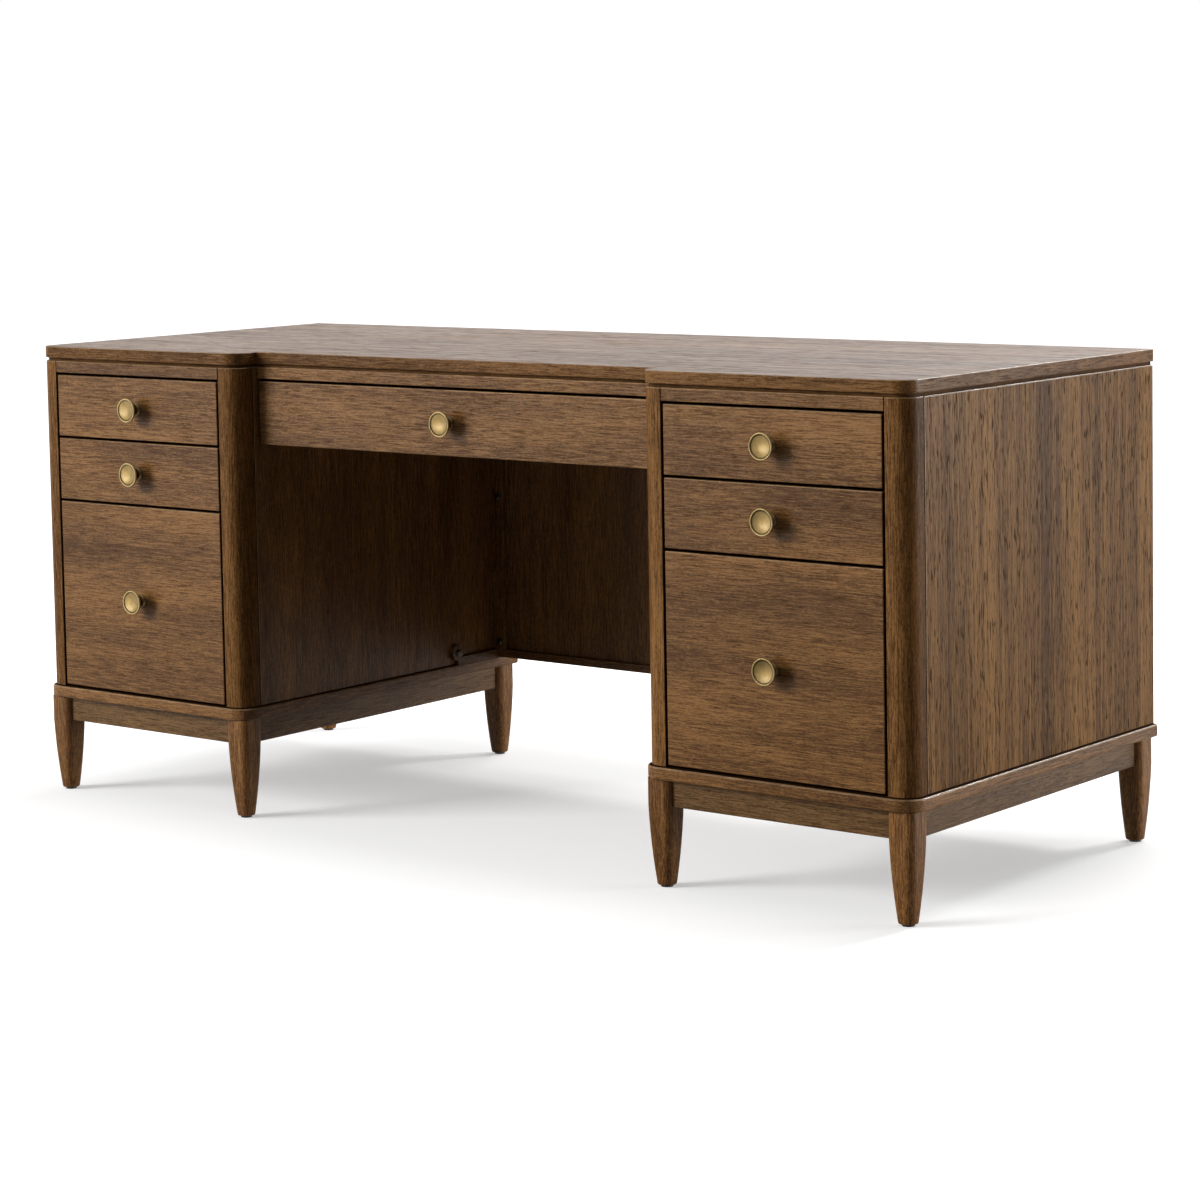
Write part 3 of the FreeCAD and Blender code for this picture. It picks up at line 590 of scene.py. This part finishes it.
def makePost(node):
    low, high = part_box(node)
    free = high.x if node in ("left_inner_post", "right_outer_post") else low.x
    seam = low.x + high.x - free
    post = addBlock(node + "_stile", low, high)
    roundEdges(post, cornerPost["round"], cornerPost["roundSteps"],
               lambda a, b: upright(a, b) and near(a.x, free) and near(a.y, low.y))
    roundEdges(post, cornerPost["ease"], cornerPost["easeSteps"],
               lambda a, b: upright(a, b) and (near(a.x, seam) or near(a.y, high.y))
               or level(a, b, high.z) or level(a, b, low.z))
    smooth(post)
    shadeRound(post, 1 if free > seam else -1)
    paint(post, makeWood("oak_" + node, "Z", postOak))
    # pale painted highlights on upper edges, painted shade underneath, on the rear face and at the seam
    paintEdgeHighlights(post)
    darken(post, lambda normal, centre: normal.z < -facing["eased"] or normal.y > facing["mostly"]
           or abs(normal.x) > facing["mostly"] and abs(centre.x - seam) < cornerPost["ease"])
    standFor(post, node)


for side in sides:
    for column in ("inner", "outer"):
        makePost(f"{side}_{column}_post")
print("posts made")


# base boards: rounded in plan like the case, with soft edges and mitred grain
baseBoard = {"frontRound": 0.034, "frontSteps": 16, "rearRound": 0.009, "rearSteps": 8,
             "edge": 0.003, "edgeSteps": 6, "highlightFrom": 0.35}


def makeBaseBoard(node):
    low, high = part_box(node)
    board = addBlock(node + "_moulding", low, high)
    roundEdges(board, baseBoard["frontRound"], baseBoard["frontSteps"],
               lambda a, b: upright(a, b) and near(a.y, low.y))
    roundEdges(board, baseBoard["rearRound"], baseBoard["rearSteps"],
               lambda a, b: upright(a, b) and near(a.y, high.y))
    roundEdges(board, baseBoard["edge"], baseBoard["edgeSteps"],
               lambda a, b: level(a, b, low.z) or level(a, b, high.z))
    smooth(board)
    paint(board, makeWood("oak_" + node, "X"))
    repaint(board, makeWood("oak_" + node + "_side", "Y"),
            lambda normal, centre: isSideways(normal))
    # pale painted highlights on the upper edges, painted shade on the flat top where the case stands
    paintEdgeHighlights(board, baseBoard["highlightFrom"])
    darken(board, lambda normal, centre: normal.z > facing["square"])
    standFor(board, node)


for side in sides:
    makeBaseBoard(f"{side}_base_board")
print("base boards made")


# legs: a square head beside the aprons, then a swelled taper to a nearly round foot
leg = {"width": 0.044, "foot": 0.027, "swell": 0.0024, "edge": 0.0118, "edgeSteps": 8,
       "toe": 0.0022, "toeSteps": 4, "cuts": 6}


def makeLegs(side):
    node = f"{side}_legs"
    low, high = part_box(node)
    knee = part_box(f"{side}_aprons")[0].z
    half = leg["width"] / 2
    first = addBlock("leg", low, (low.x + leg["width"], low.y + leg["width"], high.z))
    for cut in range(leg["cuts"]):
        cutAt(first, (0, 0, knee + (low.z - knee) * cut / leg["cuts"]), (0, 0, 1))
    for cut in range(1, leg["cuts"] + 1):
        share = cut / leg["cuts"]
        height = knee + (low.z - knee) * share
        taper = leg["width"] + (leg["foot"] - leg["width"]) * share
        width = taper + 4 * leg["swell"] * share * (1 - share)  # fullest halfway down
        pickEdges(first, lambda a, b: level(a, b, height))
        shrink = width / leg["width"]
        axis = (low.x + half, low.y + half, height)
        bpy.ops.transform.resize(value=(shrink, shrink, 1), center_override=axis)
        objectMode()
    roundEdges(first, leg["edge"], leg["edgeSteps"], lambda a, b: not near(a.z, b.z))
    roundEdges(first, leg["toe"], leg["toeSteps"], lambda a, b: level(a, b, low.z))
    smooth(first, angle=50)
    legs = []
    for x in (0, high.x - low.x - leg["width"]):
        for y in (0, high.y - low.y - leg["width"]):
            made = copyTo(first, "legCopy", (x, y, 0))
            paint(made, makeWood(f"oak_{side}_leg", "Z", legOak))
            legs.append(made)
    bpy.data.objects.remove(first)
    standFor(joinPieces(node + "_tapered", legs), node)


# several boards, each with its own grain, joined as one piece
def joinBoards(name, spans, settings, woodName, wood):
    made = []
    for grain, start, end in spans:
        board = addBlock("board", start, end)
        easeAll(board, settings["ease"], settings["easeSteps"])
        smooth(board)
        paint(board, makeWood(woodName, grain, wood))
        made.append(board)
    return joinPieces(name, made)


# aprons: four boards between the legs of a pedestal, darkened as painted shade under the base board's
# overhang
apron = {"thickness": 0.020, "ease": 0.0010, "easeSteps": 3}


def makeAprons(side):
    node = f"{side}_aprons"
    low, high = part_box(node)
    legLow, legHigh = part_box(f"{side}_legs")
    acrossLow, acrossHigh = legLow.x + leg["width"], legHigh.x - leg["width"]
    alongLow, alongHigh = legLow.y + leg["width"], legHigh.y - leg["width"]
    thickness = apron["thickness"]
    spans = [
        ("X", (acrossLow, low.y, low.z), (acrossHigh, low.y + thickness, high.z)),
        ("X", (acrossLow, high.y - thickness, low.z), (acrossHigh, high.y, high.z)),
        ("Y", (low.x, alongLow, low.z), (low.x + thickness, alongHigh, high.z)),
        ("Y", (high.x - thickness, alongLow, low.z), (high.x, alongHigh, high.z)),
    ]
    joined = joinBoards(node + "_boards", spans, apron, f"oak_{side}_apron", apronShadedOak)
    standFor(joined, node)


for side in sides:
    makeLegs(side)
    makeAprons(side)
print("legs and aprons made")


# turned pieces: a disc drawn up ring by ring along Z from (radius, height) pairs in millimetres
millimetres = 1000  # in a metre


def turnPiece(name, rings, steps):
    deselectAll()
    rings = [(radius / millimetres, height / millimetres) for radius, height in rings]
    radius, height = rings[0]
    bpy.ops.mesh.primitive_circle_add(vertices=steps, radius=radius, fill_type="NGON",
                                      location=(0, 0, height))
    piece = bpy.context.object
    piece.name = piece.data.name = name
    bpy.ops.object.transform_apply(location=True, rotation=True, scale=True)
    editMode()
    bpy.ops.mesh.select_mode(type="FACE")
    bpy.ops.mesh.select_all(action="SELECT")
    for nextRadius, nextHeight in rings[1:]:
        rise = (0, 0, nextHeight - height)
        bpy.ops.mesh.extrude_region_move(TRANSFORM_OT_translate={"value": rise})
        shrink = nextRadius / radius
        bpy.ops.transform.resize(value=(shrink, shrink, 1), center_override=(0, 0, nextHeight))
        radius, height = nextRadius, nextHeight
    bpy.ops.mesh.select_all(action="SELECT")
    bpy.ops.mesh.normals_make_consistent(inside=False)
    objectMode()
    smooth(piece, angle=60)
    return piece


# knobs: foot, waist, flared head, beaded rim and a shallow dish, with the screw head inside the drawer
knob = {
    "steps": 72, "screwSteps": 24, "dishFloor": 21.0, "dishRings": 9,
    "neckTop": 0.0195, "dishEdge": 0.0176, "darkRing": 0.0163,  # where the brass changes, in metres
    "stem": [(11.0, 0.0), (11.0, 0.9), (10.6, 1.6), (9.6, 2.4), (8.7, 3.4), (8.2, 5.0),
             (8.0, 7.5), (8.0, 11.0), (8.3, 13.0), (9.4, 14.8), (11.6, 16.3), (14.5, 17.7),
             (17.5, 19.0), (19.3, 20.0), (19.9, 20.8), (20.0, 21.8), (20.0, 22.6), (19.8, 23.3),
             (19.4, 23.8), (18.8, 24.0), (18.2, 23.85), (17.7, 23.4), (17.4, 22.9)],
    "screw": [(4.5, 0.0), (4.5, 0.5), (4.3, 1.2), (3.6, 1.9), (2.4, 2.35), (0.8, 2.5)],
}


def makeKnobs():
    rings = list(knob["stem"])
    rimRadius, rimHeight = rings[-1]
    floor, deep = knob["dishFloor"], rimHeight - knob["dishFloor"]
    for ring in range(1, knob["dishRings"]):
        share = 1 - ring / knob["dishRings"]
        rings.append((rimRadius * share, floor + deep * share ** 2))
    head = turnPiece("knobHead", rings, knob["steps"])
    paint(head, dishBrass)
    # painted highlight on the rim, painted shade on the neck and on a ring inside the rim
    repaint(head, rimBrassLit, lambda normal, centre: centre.xy.length > knob["dishEdge"])
    repaint(head, neckBrassShaded, lambda normal, centre: centre.z < knob["neckTop"]
            or knob["darkRing"] < centre.xy.length < knob["dishEdge"])
    turning = head.data.uv_layers.new(name="turning")
    for loop in head.data.loops:
        point = head.data.vertices[loop.vertex_index].co
        turning.data[loop.index].uv = (math.atan2(point.y, point.x) / math.tau, point.xy.length)
    head.data.transform(Matrix.Rotation(math.pi / 2, 4, "X"))
    screw = turnPiece("knobScrew", knob["screw"], knob["screwSteps"])
    screw.data.transform(Matrix.Rotation(-math.pi / 2, 4, "X"))
    paint(screw, runnerSteel)
    for drawer in drawers:
        low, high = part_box(drawer + "_front")
        middle = Vector(((low.x + high.x) / 2, low.y, (low.z + high.z) / 2))
        inside = Vector((0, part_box(drawer + "_box")[0].y + drawerBox["wall"] - low.y, 0))
        made = [copyTo(head, "knobCopy", middle), copyTo(screw, "screwCopy", middle + inside)]
        standFor(joinPieces(drawer + "_turned_knob", made), drawer + "_knob")
    bpy.data.objects.remove(head)
    bpy.data.objects.remove(screw)


# drawer boxes: sides, inner front and back round a let-in bottom
drawerBox = {"wall": 0.012, "floor": 0.006, "rise": 0.009, "ease": 0.0009, "easeSteps": 2}


def makeDrawerBox(drawer):
    node = drawer + "_box"
    low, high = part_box(node)
    wall, rise = drawerBox["wall"], drawerBox["rise"]
    spans = [
        ("Y", low, (low.x + wall, high.y, high.z)),
        ("Y", (high.x - wall, low.y, low.z), high),
        ("X", (low.x + wall, low.y, low.z), (high.x - wall, low.y + wall, high.z)),
        ("X", (low.x + wall, high.y - wall, low.z), (high.x - wall, high.y, high.z)),
        ("X", (low.x + wall, low.y + wall, low.z + rise),
         (high.x - wall, high.y - wall, low.z + rise + drawerBox["floor"])),
    ]
    joined = joinBoards(node + "_boards", spans, drawerBox, "boxWood_" + drawer, boxWood)
    standFor(joined, node)


makeKnobs()
for drawer in drawers:
    makeDrawerBox(drawer)
print("knobs and drawer boxes made")


# kneehole straps and corner cleats: the frame's own pieces with their arrises eased
kneehole = {"ease": 0.0010, "easeSteps": 2, "sharpFrom": 50, "merge": 0.00001}


def easeCopy(node, name, grain):
    piece = bpy.data.objects.new(name, cadNodes[node].data.copy())
    piece.data.name = name
    bpy.context.collection.objects.link(piece)
    pickAll(piece)
    bpy.ops.mesh.remove_doubles(threshold=kneehole["merge"])
    objectMode()
    eased = piece.modifiers.new("eased", "BEVEL")
    eased.width = kneehole["ease"]
    eased.segments = kneehole["easeSteps"]
    eased.limit_method = "ANGLE"
    eased.angle_limit = math.radians(kneehole["sharpFrom"])
    bpy.ops.object.modifier_apply(modifier=eased.name)
    smooth(piece)
    paint(piece, makeWood("oak_" + node, grain))
    # pale painted highlights on the upper edges
    paintEdgeHighlights(piece)
    standFor(piece, node)


easeCopy("kneehole_straps", "kneehole_straps_eased", "Y")
easeCopy("kneehole_corner_cleats", "kneehole_cleats_eased", "Z")
print("straps and cleats made")


# finishes of the pieces that stay as the frame has them
for node, part in cadNodes.items():
    if part.hide_render:
        continue
    if "runner_slides" in node or "runner_carriages" in node or node == "runner_channels":
        paint(part, runnerSteel)
    elif node == "kneehole_bolts":
        paint(part, darkBronze)
    elif node == "glides":
        paint(part, blackGlide)
    else:
        paint(part, makeWood("innerWood_" + node, "Y", boxWood))
    print("kept", node)


# studio: a floor that whitens away from the desk, and a white room that is dark behind the camera
studio = {
    "floorSize": 60, "floorSeen": 0.70, "floorBounce": 0.36,
    "fade": (0.0, 0.75), "glow": (0.42, 1.0),  # metres outside the desk, and the glow there
    "roomLight": 0.26, "darkSide": (0.62, -0.78, 0), "shadeStops": (0.55, 0.85), "shade": (1.0, 0.04),
}


# how bright a direction is for light and mirror rays, and which rays see the room as white
def darkened(tree, direction):
    unit = vectorNode(tree, "NORMALIZE", direction)
    towards = vectorNode(tree, "DOT_PRODUCT", unit, studio["darkSide"])
    return ramp(tree, towards, studio["shadeStops"], studio["shade"])


def rayKinds(tree):
    path = addNode(tree, "ShaderNodeLightPath")
    mirrored = mathNode(tree, "ADD", path.outputs["Is Glossy Ray"], path.outputs["Is Transmission Ray"])
    return path.outputs["Is Camera Ray"], mirrored


def makeFloor():
    deselectAll()
    bpy.ops.mesh.primitive_plane_add(size=studio["floorSize"], location=(0, 0, 0))
    floor = bpy.context.object
    floor.name = "studio_floor"
    look, tree, shader = newLook("studioFloor")
    tree.nodes.remove(shader)
    place = addNode(tree, "ShaderNodeTexCoord").outputs["Object"]
    sweep = addNode(tree, "ShaderNodeMapRange")
    mirroredPlace = vectorNode(tree, "ABSOLUTE", place)
    beyond = vectorNode(tree, "SUBTRACT", mirroredPlace, (cadHigh.x, cadHigh.y, 0))
    outside = vectorNode(tree, "LENGTH", vectorNode(tree, "MAXIMUM", beyond, (0, 0, 0)))
    tree.links.new(outside, sweep.inputs["Value"])
    limits = ("From Min", "From Max", "To Min", "To Max")
    for socket, value in zip(limits, studio["fade"] + studio["glow"]):
        sweep.inputs[socket].default_value = value
    direct, mirrored = rayKinds(tree)
    seen = mathNode(tree, "MULTIPLY_ADD", mirrored, darkened(tree, place), direct)
    glow = addNode(tree, "ShaderNodeEmission")
    strength = mathNode(tree, "MULTIPLY", sweep.outputs[0], seen)
    tree.links.new(strength, glow.inputs["Strength"])
    diffuse = addNode(tree, "ShaderNodeBsdfDiffuse")
    bounce, shown = (studio["floorBounce"],) * 3, (studio["floorSeen"],) * 3
    tree.links.new(mixColours(tree, "MIX", direct, bounce, shown), diffuse.inputs["Color"])
    both = addNode(tree, "ShaderNodeAddShader")
    tree.links.new(diffuse.outputs[0], both.inputs[0])
    tree.links.new(glow.outputs[0], both.inputs[1])
    tree.links.new(both.outputs[0], tree.nodes["Material Output"].inputs["Surface"])
    paint(floor, look)


def makeRoom():
    room = bpy.data.worlds.new("studioRoom")
    bpy.context.scene.world = room
    room.use_nodes = True
    tree = room.node_tree
    background = tree.nodes["Background"]
    direct, mirrored = rayKinds(tree)
    shade = darkened(tree, addNode(tree, "ShaderNodeTexCoord").outputs["Generated"])
    colour = mixColours(tree, "MIX", direct, shade, (1.0, 1.0, 1.0))
    tree.links.new(colour, background.inputs["Color"])
    strength = addNode(tree, "ShaderNodeMapRange")
    strength.inputs["To Min"].default_value = studio["roomLight"]
    tree.links.new(mathNode(tree, "ADD", direct, mirrored), strength.inputs["Value"])
    tree.links.new(strength.outputs[0], background.inputs["Strength"])


# soft boxes: one that isn't mirrored stays out of reflections, one that isn't lit shows only in them
softBoxes = {
    "frontLeft": {"place": (-8.8, -9.8, 5.3), "aim": (0, 0, 0.4), "size": 6.0, "power": 2100,
                  "mirrored": False},
    "rearRight": {"place": (5.0, 3.5, 0.62), "aim": (0.4, 0, 0.45), "size": 2.6, "height": 0.9,
                  "power": 205},
    "edgeStrip": {"place": (1.5, 3.2, 2.7), "aim": (0.88, 0, 0.3), "size": 0.7, "power": 70},
    "lowStrip": {"place": (-4.1, -5.6, 0.6), "aim": (0.2, -0.35, 0.45), "size": 3.0, "height": 0.9,
                 "power": 70, "lit": False},
    "rear": {"place": (-0.1, 3.2, 3.6), "aim": (0, 0, 0.6), "size": 3.0, "power": 95},
    "overLeft": {"place": (-2.1, -0.7, 3.6), "aim": (0, -0.3, 0.6), "size": 2.0, "power": 16},
}


def makeSoftBox(name, box):
    lamp = bpy.data.lights.new(name, "AREA")
    lamp.energy = box["power"]
    lamp.shape = "RECTANGLE"
    lamp.size = box["size"]
    lamp.size_y = box.get("height", box["size"])
    holder = bpy.data.objects.new(name, lamp)
    holder.location = box["place"]
    towards = Vector(box["aim"]) - Vector(box["place"])
    holder.rotation_euler = towards.to_track_quat("-Z", "Y").to_euler()
    holder.visible_glossy = box.get("mirrored", True)
    holder.visible_diffuse = box.get("lit", True)
    bpy.context.collection.objects.link(holder)


makeFloor()
makeRoom()
for name, box in softBoxes.items():
    makeSoftBox(name, box)
print("studio lit")


# camera at the photograph's angle: turned left, tipped down and rolled a little, in degrees
camera = {"place": (3.2402, -3.9981, 1.1012), "yaw": 38.38, "pitch": 4.72, "roll": -1.0,
          "lens": 96.0, "sensor": 36, "shiftY": -1 / 6, "clipEnd": 200}


def makeCamera():
    yaw, pitch, roll = (math.radians(camera[turn]) for turn in ("yaw", "pitch", "roll"))
    ahead = math.cos(pitch)
    sight = Vector((-math.sin(yaw) * ahead, math.cos(yaw) * ahead, -math.sin(pitch)))
    across = Vector((math.cos(yaw), math.sin(yaw), 0))
    up = across.cross(sight)
    right = math.cos(roll) * across + math.sin(roll) * up
    top = -math.sin(roll) * across + math.cos(roll) * up
    lens = bpy.data.cameras.new("photoCamera")
    lens.sensor_width = camera["sensor"]
    lens.lens = camera["lens"]
    lens.shift_y = camera["shiftY"]
    lens.clip_end = camera["clipEnd"]
    holder = bpy.data.objects.new("photoCamera", lens)
    turned = Matrix((right, top, -sight)).transposed()
    holder.matrix_world = Matrix.Translation(camera["place"]) @ turned.to_4x4()
    bpy.context.collection.objects.link(holder)
    bpy.context.scene.camera = holder


makeCamera()
bpy.context.scene.view_settings.view_transform = "Standard"
print("camera set")
